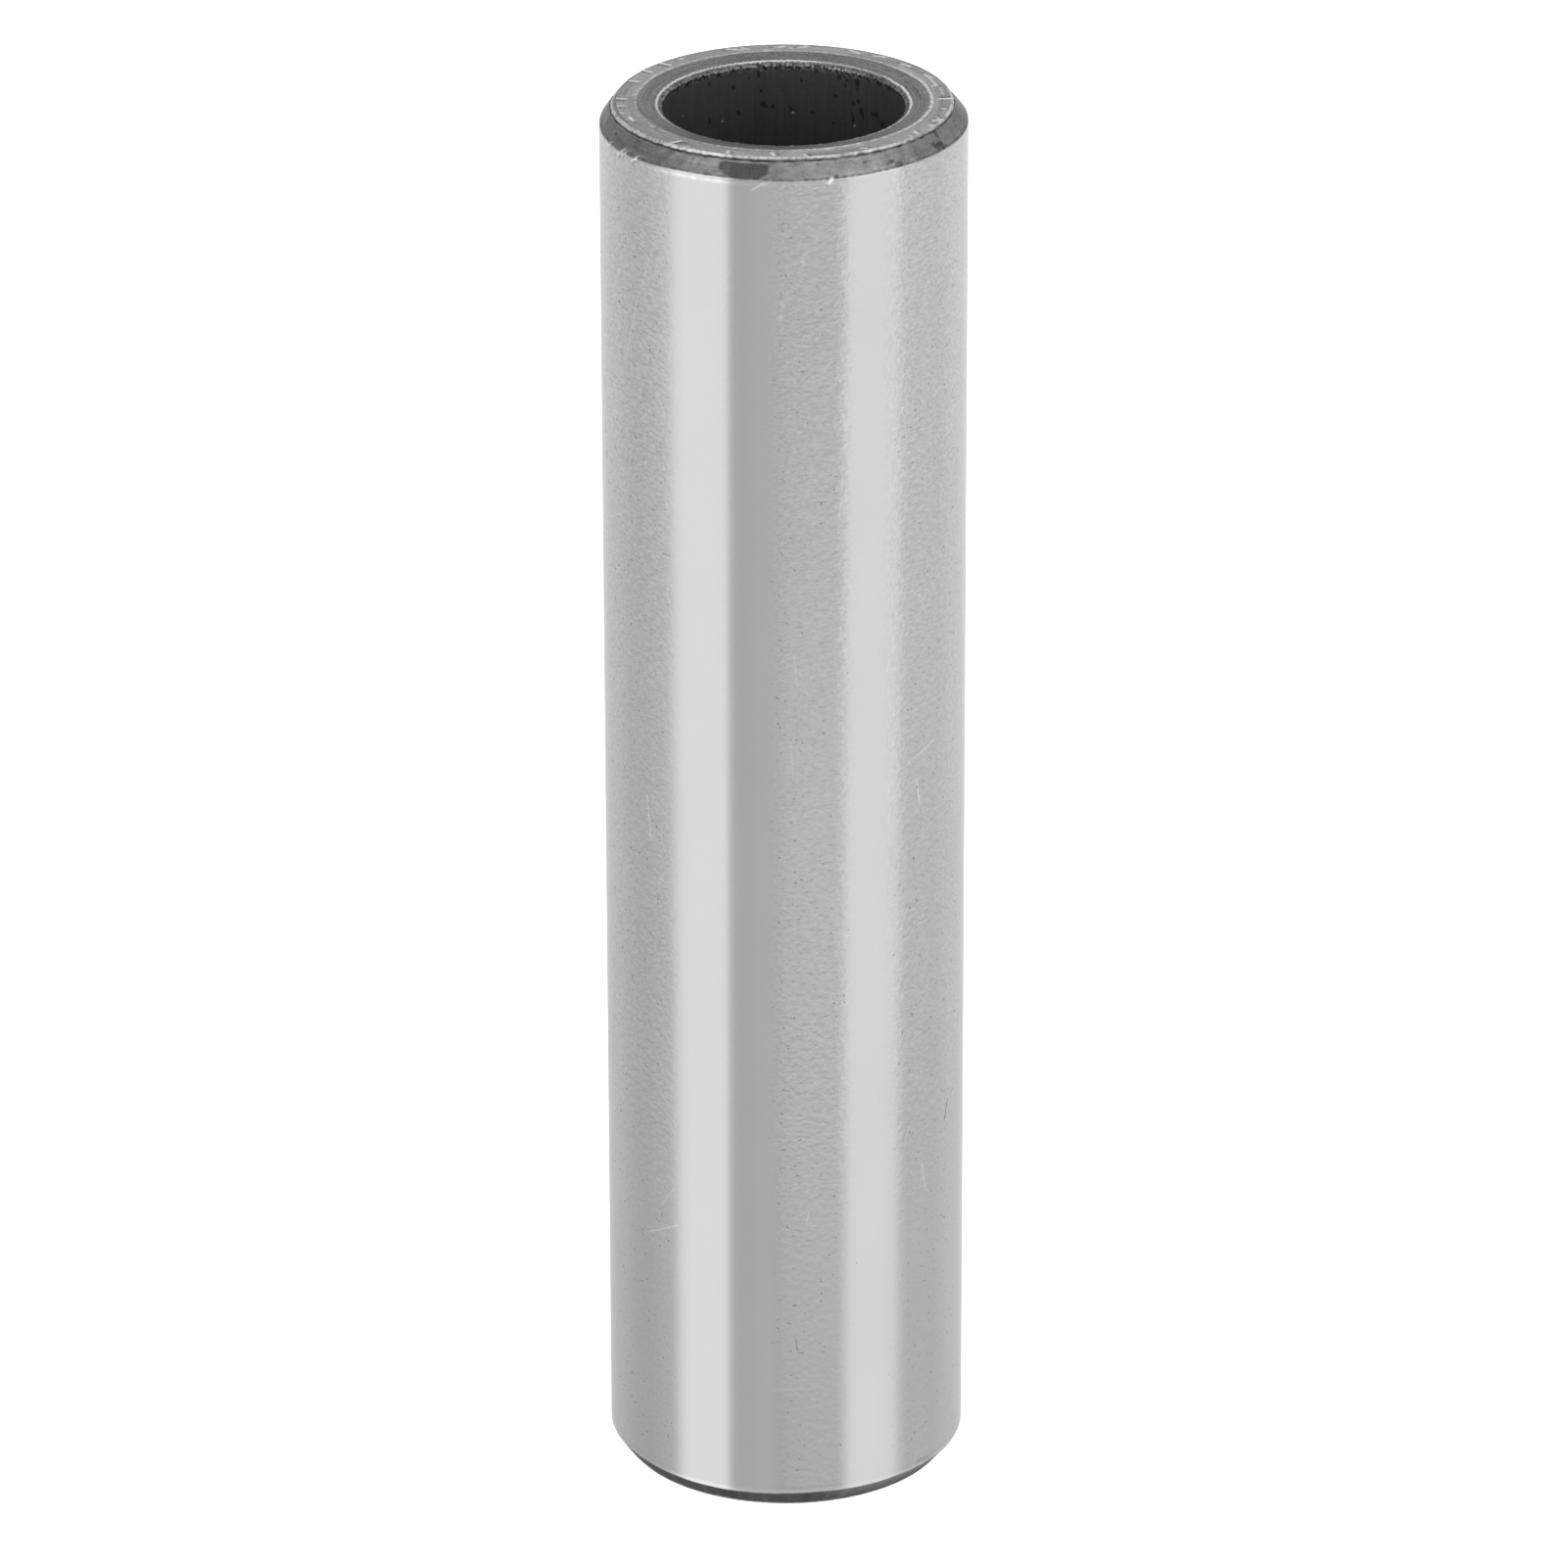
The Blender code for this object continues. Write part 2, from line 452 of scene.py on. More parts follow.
# The groove runs lower down the chamfer on the left of the photograph than on the right
groove_line = wander(
    (0, 0.18), (30, 0.22), (160, 0.36), (175, 0.37), (190, 0.33), (205, 0.27), (220, 0.23),
    (235, 0.2), (250, 0.18), (265, 0.17), (320, 0.16), (335, 0.16), (350, 0.17), (360, 0.18),
)
groove_line += 0.012 * ragged(30, 3, 41)
groove_strength = wander((0, 0.8), (180, 0.9), (200, 1.1), (250, 1.1), (280, 0.8), (360, 0.8))
groove_strength += 0.4 * ragged(50, 5, 42)
groove = bead(down_chamfer, groove_line, GROOVE_WIDTH) * np.clip(groove_strength, 0.2, 1.4)
burr_wave = 0.25 * ragged(40, 6, 43) + 0.2 * ragged(4, 1.5, 44)
burr = bead(down_chamfer, groove_line - BURR_ABOVE, BURR_WIDTH) * np.clip(0.8 + burr_wave, 0.2, 1.3)
groove *= near_corner
burr *= near_corner
sink += SLANT * (groove * GROOVE_DEPTH - burr * BURR_HEIGHT)
swell -= SLANT * (groove * GROOVE_DEPTH - burr * BURR_HEIGHT)

# %% [markdown]
# ## Dish and lip
# The dish inside the land was turned with a fine feed, and is a little wavy. Its inner edge was
# thrown up into a lip when the bore was finished, and the lip is uneven, more so on the far side.

# %% Turn the dish and throw up the lip
LIP_HEIGHT = 0.012 * MM
LIP_OUT = 0.035 * MM  # how far the rim was pushed outwards
LIP_WIDTH = 0.075 * MM  # half widths of the lip and of the rim that was pushed out
RIM_WIDTH = 0.11 * MM
DISH_WAVES = 0.003 * MM

in_dish = (radius < LAND_INNER - HAIR) & (radius > BORE + HAIR)
dish_part = rise(radius, RIM, RIM + 0.1 * MM) * rise(-radius, -LAND_INNER, -LAND_INNER + 0.1 * MM)
sink += DISH_WAVES * uneven(radius, 0.5 * MM, 51) * dish_part * in_dish
lip_wave = ragged(30, 2, 52)
lip = bead(radius, RIM + 0.006 * MM * lip_wave, LIP_WIDTH) * (0.8 + 0.35 * lip_wave) * in_dish
sink -= LIP_HEIGHT * np.clip(lip, 0, 1.4)
swell += LIP_OUT * bead(radius, RIM, RIM_WIDTH) * (1 + 0.25 * ragged(12, 1.5, 53)) * in_dish
# On the left the dish was cut a little wider
dish_widening = wander((0, 0.0), (165, 0.0), (195, 0.06), (250, 0.05), (285, 0.0), (360, 0.0))
swell += dish_widening * MM * bead(radius, LAND_INNER, 0.25 * MM)

# %% [markdown]
# ## Ragged mouth of the bore
# Grit and scale broke the lower edge of the small chamfer at the mouth, so it wanders up and down by
# up to a tenth of a millimetre, most on the far side.

# %% Break the edge of the bore
MOUTH_TEAR = 0.045 * MM

at_mouth = (radius < RIM) & (depth > 0.05 * MM)
near_bore = 1 - rise(radius, BORE + 0.02 * MM, RIM)
above_bore = 1 - rise(depth, MOUTH_FOOT, MOUTH_FOOT + 0.4 * MM)
mouth_wave = 0.5 * ragged(25, 5, 61) + 0.6 * ragged(5, 1.3, 62)
tearing = 0.45 + 0.55 * bead(apart(angle, 75), 0, 90)
sink += MOUTH_TEAR * mouth_wave * tearing * near_bore * above_bore * at_mouth

# %% [markdown]
# ## Chamfer and its lower edge
# The chamfer was turned before the outside was ground. Its face is a little uneven, and the line
# where the grinding cut it off wanders slightly. A few slivers of metal hang on that line, and one
# place on the land's edge was bruised by another pin.

# %% Wear the chamfer
SLIVERS = ((200.0, 0.6), (208.8, 1.0), (210.6, 0.7), (216.5, 0.8), (283.9, 0.7))  # angle, size
SLIVER_HEIGHT = 0.06 * MM
BRUISE_ANGLE = 334
BRUISE_DEPTH = 0.05 * MM
EDGE_WEAR = 0.006 * MM  # tumbling rounded the top of the wall off by so much
WORN_HEIGHT = 0.13 * MM
CHAMFER_WAVES = 0.004 * MM
FOOT_WAVES = 0.012 * MM

outer_side = radius > LAND_OUTER
chamfer_part = rise(down_chamfer, 0.1, 0.3) * (1 - rise(down_chamfer, 0.8, 1.0)) * outer_side
swell -= CHAMFER_WAVES * (1 + uneven(depth, 0.6 * MM, 71)) * chamfer_part

# The chamfer's foot runs lower on the left of the photograph, where the grinding took more
foot_line = MM * wander(
    (0, 0.0), (150, 0.0), (175, 0.08), (190, 0.11), (205, 0.11), (220, 0.07), (235, 0.0),
    (250, -0.02), (265, 0.0), (280, 0.02), (300, 0.0), (330, -0.01), (350, 0.02), (360, 0.0),
)
below_foot = rise(depth, CHAMFER_FOOT, CHAMFER_FOOT + 0.45 * MM)
sink += foot_line * rise(depth, 0.25 * MM, CHAMFER_FOOT) * (1 - below_foot) * outer_side
foot_wave = 0.5 * ragged(20, 4, 72) + 0.5 * ragged(4, 1.2, 73)
sink += FOOT_WAVES * foot_wave * bead(depth, CHAMFER_FOOT, 0.14 * MM) * outer_side
worn = np.clip(1 - (depth - CHAMFER_FOOT) / WORN_HEIGHT, 0, 1) * (depth > CHAMFER_FOOT - HAIR)
swell -= EDGE_WEAR * worn**2 * outer_side

slivers = np.zeros(len(angle))
for place, size in SLIVERS:
    tip = bead(apart(angle, place - 8 * (down_chamfer - 1)), 0, 0.4 * size + 0.7)
    hang = bead(down_chamfer, 0.98, 0.10 + 0.14 * size)
    slivers = np.maximum(slivers, size * tip * hang * outer_side * upper)
swell += SLIVER_HEIGHT * slivers
bruise = bead(apart(angle, BRUISE_ANGLE), 0, 1.6) * bead(down_chamfer, 0.02, 0.16)
sink += BRUISE_DEPTH * bruise * (radius > TRACK_EDGE) * upper

# %% [markdown]
# ## Move the points
# All the marks are added up and applied once: down into the metal along the axis, and in or out
# across it. Nothing may rise above the end planes or stand out of the solid's box, so both are
# held back there.

# %% Apply the marks
LOWER_WEAR = 0.7  # the lower end has the same marks, a little softer

strength = np.where(upper, 1.0, LOWER_WEAR)
new_depth = np.maximum(depth + sink * strength, 0.0)
new_radius = radius + swell * strength
points[:, :2] *= (new_radius / radius)[:, None]
points[:, :2] = np.clip(points[:, :2], -OUTSIDE, OUTSIDE)
points[:, 2] = np.where(upper, LENGTH - new_depth, new_depth)
pin.data.vertices.foreach_set("co", points.ravel())
pin.data.update()
print(f"moved {np.abs(sink).max() / MM:.3f} mm at most, the top is at {points[:, 2].max() / MM:.3f} mm")

# %% [markdown]
# ## Stains, painted shade and painted highlights
# Some marks are a change of colour more than of shape: stains of dried oil on the chamfer, painted
# shade in the grooves, on the front of the dish and on the lower chamfer, and painted highlights on
# edges, burrs and slivers. They sit on the ends, where the points are dense, so they are stored with
# the points as attributes, and the materials read them by name. An image would need an unwrapped
# mesh and a file. One attribute darkens with stains and painted shade, one brightens with painted
# highlights and bare metal, and one gives each facet its own shade.

# %% Store stains, painted shade and painted highlights
CHAMFER_STAINS = (
    # angle, half its width in degrees, place on the chamfer from 0 at the land to 1 at the wall,
    # how far it reaches up and down from there, strength
    (257.0, 8.4, 0.36, 0.07, 0.6, 0.82),
    (191.6, 1.0, 0.66, 0.12, 0.12, 0.2), (200.6, 0.8, 0.6, 0.06, 0.06, 0.9),
    (233.3, 0.8, 0.55, 0.08, 0.08, 0.4), (239.2, 0.7, 0.5, 0.2, 0.2, 0.35),
    (278.0, 1.1, 0.15, 0.08, 0.08, 0.9), (280.9, 0.7, 0.37, 0.06, 0.06, 0.5),
    (286.3, 0.8, 0.86, 0.1, 0.08, 0.8), (296.5, 1.2, 0.12, 0.06, 0.06, 0.8),
    (296.9, 0.8, 0.49, 0.06, 0.06, 0.6), (301.4, 1.0, 0.23, 0.06, 0.06, 0.5),
    (302.8, 1.5, 0.11, 0.05, 0.05, 0.7), (304.5, 0.7, 0.75, 0.05, 0.05, 0.4),
    (306.4, 1.0, 0.66, 0.08, 0.08, 0.8), (308.4, 1.5, 0.83, 0.1, 0.12, 0.7),
    (316.3, 1.2, 0.14, 0.06, 0.06, 0.5),
    (326.4, 1.0, 0.6, 0.1, 0.12, 0.7), (328.5, 2.4, 0.72, 0.14, 0.16, 0.9),
    (330.6, 1.0, 0.36, 0.16, 0.12, 0.7), (331.2, 1.0, 0.84, 0.08, 0.08, 0.7),
    (326.8, 1.0, 0.93, 0.05, 0.05, 0.5), (344.6, 1.0, 0.91, 0.06, 0.06, 0.7),
    (347.2, 0.8, 0.62, 0.08, 0.08, 0.4), (351.0, 1.0, 0.95, 0.08, 0.05, 0.6),
)


def patch(place, half_angle, middle, up, down):
    """A patch of the chamfer with a soft edge, 1 inside and 0 outside."""
    below = down_chamfer - middle
    across = np.abs(apart(angle, place) / half_angle)
    along = np.abs(below / np.where(below < 0, up, down))
    return 1 - rise(across**2.6 + along**2.6 + 0.07 * stain_edge, 0.8, 1.15)


stain_edge = uneven(depth, 0.30 * MM, 90)
streaked = ragged(8, 1.2, 95)
stain = np.zeros(len(angle))
for place, half_angle, middle, up, down, amount in CHAMFER_STAINS:
    oil = (0.92 + 0.04 * streaked) * amount * patch(place, half_angle, middle, up, down)
    stain = np.maximum(stain, oil * outer_side * upper)
# Parts of the chamfer are darker, partly dull metal and partly painted shade, and the front of the
# dish, which faces the camera, gets painted shade that deepens towards the rim
chamfer_shade = rise(down_chamfer, 0.15, 0.4) * outer_side * wander(
    (0, 0.1), (150, 0.08), (175, 0.18), (195, 0.26), (225, 0.28), (238, 0.02), (300, 0.0),
    (310, 0.12), (325, 0.18), (335, 0.1), (345, 0.15), (360, 0.12),
)
dish_shade = in_dish * (0.78 + 0.5 * rise(-radius, -LAND_INNER, -RIM)) * wander(
    (0, 0.05), (60, 0.0), (200, 0.02), (215, 0.25), (235, 0.66), (265, 0.66), (280, 0.5),
    (300, 0.2), (325, 0.08), (360, 0.05),
)
# Painted shade where the pin stands on the table darkens the lower chamfer, on the right mostly beside the
# land
lower_contact_shade = 0.06 * ragged(30, 4, 97) + wander(
    (0, 0.8), (215, 0.85), (250, 0.84), (262, 0.74), (274, 0.68), (278, 0.76), (285, 0.66), (298, 0.5),
    (310, 0.55), (322, 0.74), (335, 0.7), (360, 0.8),
)
lower_right = wander((0, 0), (283, 0), (298, 1), (335, 1), (350, 0), (360, 0))
lower_contact_shade *= 1 - 0.6 * lower_right * rise(down_chamfer, 0.3, 0.9)
# A second groove line on the left is only painted shadow, with no shape of its own
second_groove_shadow = bead(down_chamfer, groove_line + 0.10, 0.04) * np.clip(ragged(25, 3, 80), 0, 1)
# A ragged line of painted shade at the foot of the chamfer, where it meets the wall
foot_shade = bead(down_chamfer, 0.90, 0.07) * (0.35 + 0.3 * ragged(16, 2, 86)) * outer_side
far_side = wander((0, 0.7), (45, 1.0), (160, 1.0), (190, 0.4), (230, 0.1), (310, 0.1), (360, 0.7))
torn_shape = uneven(depth, 0.20 * MM, 87)
mouth_gaps = np.clip(-0.7 * torn_shape - 0.2, 0, 1) * bead(depth, MOUTH_FOOT + 0.03 * MM, 0.15 * MM)
mouth_gaps *= far_side
# Painted shade joins the stains: in the groove, in the bruise's dent and on the far side of each stroke
for layer in (
    chamfer_shade,
    dish_shade,
    np.clip(1.2 * groove, 0, 1),
    0.5 * second_groove_shadow * near_corner * bead(apart(angle, 220), 0, 50),
    0.7 * bruise * (radius > TRACK_EDGE) * upper,
    stroke_shadows * on_land,
    foot_shade,
    mouth_gaps * (radius < RIM),
    lower_contact_shade * ~upper * outer_side * (depth < CHAMFER_FOOT),
):
    stain = np.maximum(stain, layer)

# A painted highlight on the rim of the dish, all round, weaker where it is torn and where it faces the
# camera
lip_glow = 0.25 * lip_wave + wander(
    (0, 1.6), (25, 1.5), (40, 0.7), (70, 0.8), (85, 1.6), (105, 1.5), (120, 0.9), (150, 1.2),
    (185, 1.0), (215, 0.6), (230, 0.05), (290, 0.1), (330, 0.9), (360, 1.6),
)
# A painted highlight along the ridge at the land's inner edge
ridge_glow = 0.2 * ragged(12, 2, 81) + wander(
    (0, 0.5), (30, 0.5), (45, 0.35), (80, 0.3), (95, 0.4), (120, 0.35), (150, 0.4), (180, 0.15),
    (200, 0.1), (260, 0.1), (280, 0.15), (320, 0.3), (345, 0.45), (360, 0.5),
)
# A painted highlight along the rolled burr
burr_glow = 0.15 * ragged(12, 1.5, 96) + wander(
    (0, 1.2), (20, 1.1), (60, 0.8), (180, 1.2), (210, 1.0), (225, 0.8), (240, 0.8), (255, 0.95),
    (270, 0.75), (315, 0.6), (335, 0.6), (345, 1.0), (360, 1.2),
)
ridge_line = bead(radius, LAND_INNER + (0.05 + 0.02 * ragged(40, 5, 88)) * MM, 0.085 * MM)
# A painted highlight on the upper edge of the lower chamfer, mostly on the left
lower_edge_highlight = bead(depth, CHAMFER_FOOT + 0.02 * MM, 0.08 * MM) * wander(
    (0, 0.1), (220, 0.1), (235, 0.5), (252, 0.5), (262, 0.25), (330, 0.15), (360, 0.1),
)
# A thin painted highlight round the chamfer, on the right
streak_glow = wander((0, 0), (280, 0), (290, 0.12), (345, 0.10), (360, 0)) * (0.7 + 0.5 * ragged(12, 2, 92))
# A painted highlight on the rounded top of the wall, just under the chamfer, mostly on the left
wall_edge_highlight = bead(depth, CHAMFER_FOOT + 0.08 * MM, 0.08 * MM) * outer_side * wander(
    (0, 0), (222, 0), (230, 0.6), (250, 0.6), (256, 0.1), (282, 0.1), (285, 0.4), (289, 0), (360, 0),
)
# Painted glints in dots on the mouth's broken edge, most of all at the back on the right
mouth_glints = np.clip(uneven(depth, 0.17 * MM, 85) - 0.7, 0, 1) * bead(depth, MOUTH_FOOT + 0.04 * MM, 0.12 * MM)
torn = np.clip(0.35 + 0.5 * torn_shape, 0, 1) * bead(depth, MOUTH_FOOT + 0.03 * MM, 0.16 * MM)
torn *= wander((0, 0.4), (40, 0.3), (60, 0.6), (90, 0.6), (105, 0.4), (165, 0.5), (200, 0.1), (360, 0.1))
shine = np.zeros(len(angle))
# Painted highlights on the ridge, the lip, the burr, the edges, the strokes and the slivers, and bare metal
# where the mouth is torn, all go into one brightening
for layer in (
    ridge_glow * ridge_line * (depth < 0.03 * MM),
    wall_edge_highlight * (0.8 + 0.3 * ragged(20, 2, 89)),
    burr_glow * np.clip(burr, 0, 1),
    lip_glow * bead(radius, RIM + (0.01 + 0.012 * lip_wave) * MM, 0.06 * MM) * in_dish,
    streak_glow * bead(down_chamfer, 0.80, 0.06) * outer_side,
    strokes * on_land,
    1.9 * slivers,
    lower_edge_highlight * ~upper * outer_side,
    1.5 * mouth_glints * (0.25 + 0.75 * bead(apart(angle, 66), 0, 32)) * (radius < RIM) * far_side,
    torn * (radius < RIM),
):
    shine = np.maximum(shine, layer)

facet_shade = (inner_shade * (1 - outer_track) + outer_shade * outer_track) * on_land

for name, values in (("stain", stain), ("shine", shine), ("facet_shade", facet_shade)):
    stored = pin.data.attributes.new(name, "FLOAT", "POINT")
    stored.data.foreach_set("value", np.clip(values, 0, 1).astype(np.float32))
    print(f"{name}: {(values > 0.1).sum()} points")

# %% [markdown]
# ## Shader maths as expressions
# A node tree is a drawing of sums, and a drawing of sixty Math nodes is hard to read. Here a small
# class wraps one output of a node, so that Python's own signs add the Math nodes, and a material
# reads like the formula that it is. Every other node comes from one method.

# %% Wrap the shader nodes


def sign(operation, swapped=False):
    """What one of Python's signs does to a wire: it adds a Math node."""
    if swapped:
        return lambda wire, other: wire.tree.maths(operation, other, wire)
    return lambda wire, *other: wire.tree.maths(operation, wire, *other)


class Wire:
    """One output of a node. The signs + - * / ** on it add Math nodes to its tree."""

    def __init__(self, tree, socket):
        self.tree = tree
        self.socket = socket

    __add__ = __radd__ = sign("ADD")
    __sub__ = sign("SUBTRACT")
    __rsub__ = sign("SUBTRACT", swapped=True)
    __mul__ = __rmul__ = sign("MULTIPLY")
    __truediv__ = sign("DIVIDE")
    __pow__ = sign("POWER")
    __abs__ = sign("ABSOLUTE")


class Tree:
    """The node tree of one finish, or of the world."""

    def __init__(self, owner):
        owner.use_nodes = True
        self.nodes = owner.node_tree.nodes
        self.links = owner.node_tree.links

    def node(self, kind, settings=None, inputs=None, output=0):
        """Add a node: first its settings, then a number or a wire for each socket. Gives an output."""
        added = self.nodes.new(kind)
        for name, value in (settings or {}).items():
            if name == "stops":
                self.fill_ramp(added.color_ramp, value)
            else:
                setattr(added, name, value)
        for name, value in (inputs or {}).items():
            self.feed(added.inputs[name], value)
        return Wire(self, added.outputs[output])

    def fill_ramp(self, ramp, stops):
        """Give a colour ramp its stops, each a position and a grey."""
        while len(ramp.elements) < len(stops):
            ramp.elements.new(1.0)
        for element, (position, grey) in zip(ramp.elements, stops):
            element.position = position
            element.color = (grey, grey, grey, 1.0)

    def feed(self, socket, value):
        """Link a wire to a socket, or set the socket to a number."""
        if isinstance(value, Wire):
            self.links.new(value.socket, socket)
        else:
            socket.default_value = value

    def smooth_step(self, value, low, high):
        """0 below low, 1 above high, smooth between."""
        return self.node(
            "ShaderNodeMapRange",
            {"interpolation_type": "SMOOTHSTEP"},
            {"Value": value, "From Min": low, "From Max": high},
        )

    def between(self, value, low, low_soft, high, high_soft):
        """1 between two levels, with an edge of its own softness at each."""
        start = self.smooth_step(value, low - low_soft, low + low_soft)
        end = self.smooth_step(value, high - high_soft, high + high_soft)
        return start * (1 - end)

    def maths(self, operation, *values):
        """A Math node on one or two numbers."""
        return self.node("ShaderNodeMath", {"operation": operation}, dict(enumerate(values)))

    def vector(self, operation, first, second, output=0):
        """A Vector Math node on two vectors."""
        return self.node("ShaderNodeVectorMath", {"operation": operation}, {0: first, 1: second}, output)

    def split(self, vector):
        """The three numbers of a vector."""
        first = self.node("ShaderNodeSeparateXYZ", {}, {0: vector})
        return [Wire(self, first.socket.node.outputs[axis]) for axis in "XYZ"]

    def attribute(self, name):
        """A number that is stored with the points."""
        return self.node("ShaderNodeAttribute", {"attribute_name": name}, {}, "Fac")


class Finish(Tree):
    """A metal finish: a Principled shader, and the place on the pin in millimetres."""

    def __init__(self, name, metallic, roughness, anisotropic):
        self.material = bpy.data.materials.new(name)
        super().__init__(self.material)
        self.shader = self.nodes["Principled BSDF"]
        self.set("Metallic", metallic)
        self.set("Roughness", roughness)
        self.set("Anisotropic", anisotropic)
        # The shader's own grain runs round the axis, and a quarter turn stretches highlights along it
        self.set("Anisotropic Rotation", 0.25)
        self.place = self.node(
            "ShaderNodeVectorMath",
            {"operation": "SCALE"},
            {0: self.node("ShaderNodeTexCoord", {}, {}, "Object"), "Scale": 1 / MM},
        )
        self.x, self.y, self.z = self.split(self.place)
        self.radius = (self.x * self.x + self.y * self.y) ** 0.5

    def unroll(self, radius_mm):
        """The place on the wall or in the bore as if it were unrolled flat, along and up."""
        turned = self.maths("ARCTAN2", self.y, self.x)
        return self.node("ShaderNodeCombineXYZ", {}, {"X": turned * radius_mm, "Y": self.z})

    def scratch(self, flat, radius_mm, start, end, width):
        """1 on a straight scratch from one angle and height to another, and 0 beside it."""
        start = np.array([radius_mm * math.radians(apart(start[0], 0)), start[1], 0.0])
        end = np.array([radius_mm * math.radians(apart(end[0], 0)), end[1], 0.0])
        length = max(float(np.linalg.norm(end - start)), 0.001)
        heading = tuple((end - start) / length)
        away = self.vector("SUBTRACT", flat, tuple(start))
        along = self.vector("DOT_PRODUCT", away, heading, "Value")
        along = self.node("ShaderNodeClamp", {}, {"Value": along, "Max": length})
        nearest = self.node("ShaderNodeVectorMath", {"operation": "SCALE"}, {0: heading, "Scale": along})
        gap = self.vector("DISTANCE", away, nearest, "Value")
        return 1 - self.smooth_step(gap, 0.3 * width, width)

    def marks(self, flat, radius_mm, rows, total=0.0):
        """Many scratches added up. A row has where it starts and ends, half its width and its strength."""
        for *ends, width, amount in rows:
            total = self.scratch(flat, radius_mm, ends[:2], ends[2:], width) * amount + total
        return total

    def noise(self, stretch, detail=2.0, roughness=0.5):
        """Noise whose lumps are as long as stretch says, in millimetres along x, y and z."""
        inputs = {"Vector": self.vector("DIVIDE", self.place, stretch), "Scale": 1.0}
        inputs.update({"Detail": detail, "Roughness": roughness})
        return self.node("ShaderNodeTexNoise", {}, inputs, "Fac")

    def set(self, name, value):
        """Give one input of the shader a number or a wire."""
        self.feed(self.shader.inputs[name], value)

    def bump(self, height, depth_mm):
        """Raise and sink the surface by the height, which goes from 0 to 1, times a depth."""
        raised = self.node("ShaderNodeBump", {}, {"Height": height, "Distance": depth_mm * MM})
        self.set("Normal", raised)


# %% [markdown]
# ## The ground outside
# The outside was ground and then tumbled. Grinding leaves very fine lines round the axis, so lights
# are drawn out along the pin, and tumbling leaves a fine mottle. A few dark pits and scratches came
# later, and the bright scratches are painted highlights in the colour. The mottle is partly bump and
# partly a grain in the colour. Bump alone would tear the edges of the highlights, and colour alone
# wouldn't change with the light.

# %% Finish the ground outside
SCRATCH_HIGHLIGHTS = (
    # angle and height where it starts and ends, half width, strength
    (325.1, 27.3, 316.5, 27.02, 0.035, 0.2), (316.5, 27.02, 308.0, 26.7, 0.03, 0.1),
    (316.3, 26.13, 317.7, 25.24, 0.035, 0.22), (272.9, 31.39, 273.8, 30.28, 0.04, 0.1),
    (271.7, 28.27, 272.6, 27.01, 0.035, 0.09), (319.4, 12.03, 321.4, 10.93, 0.04, 0.13),
    (277.4, 11.21, 276.4, 10.71, 0.045, 0.11), (260.3, 47.46, 264.0, 47.72, 0.045, 0.26),
    (263.4, 47.6, 265.8, 47.76, 0.04, 0.16), (275.7, 45.05, 276.1, 44.95, 0.09, 0.11),
    (269.0, 43.65, 269.6, 43.55, 0.1, 0.13), (268.9, 43.2, 268.6, 43.05, 0.09, 0.1),
    (232.3, 46.7, 218.3, 43.0, 0.035, 0.06), (218.3, 43.0, 210.6, 40.5, 0.035, 0.08),
    (213.8, 41.6, 214.4, 40.2, 0.035, 0.07), (220.6, 25.55, 222.4, 23.95, 0.035, 0.16),
    (224.1, 25.75, 223.2, 25.3, 0.03, 0.14), (231.2, 11.45, 226.4, 10.75, 0.035, 0.1),
    (219.6, 9.45, 232.8, 10.15, 0.038, 0.15), (265.8, 4.57, 275.4, 4.64, 0.04, 0.06),
    (277.5, 36.8, 287.5, 36.76, 0.03, 0.05), (288.0, 36.7, 287.0, 36.15, 0.045, 0.12),
    (270.2, 14.7, 276.0, 14.72, 0.03, 0.08),
)
DARK_SCRATCHES = (
    (335.0, 13.78, 332.5, 13.08, 0.036, 0.75), (312.9, 13.75, 310.8, 13.17, 0.04, 0.18),
    (228.3, 34.36, 231.5, 34.34, 0.03, 0.35), (191.8, 39.3, 192.4, 38.8, 0.08, 0.25),
    (192.2, 37.65, 193.0, 37.4, 0.08, 0.5), (193.6, 36.72, 194.0, 36.52, 0.08, 0.5),
    (279.9, 36.72, 282.8, 36.68, 0.028, 0.35), (218.5, 38.6, 221.0, 38.5, 0.03, 0.2),
    (273.1, 6.5, 273.6, 6.05, 0.03, 0.3), (318.1, 0.86, 323.2, 0.76, 0.11, 0.18),
)
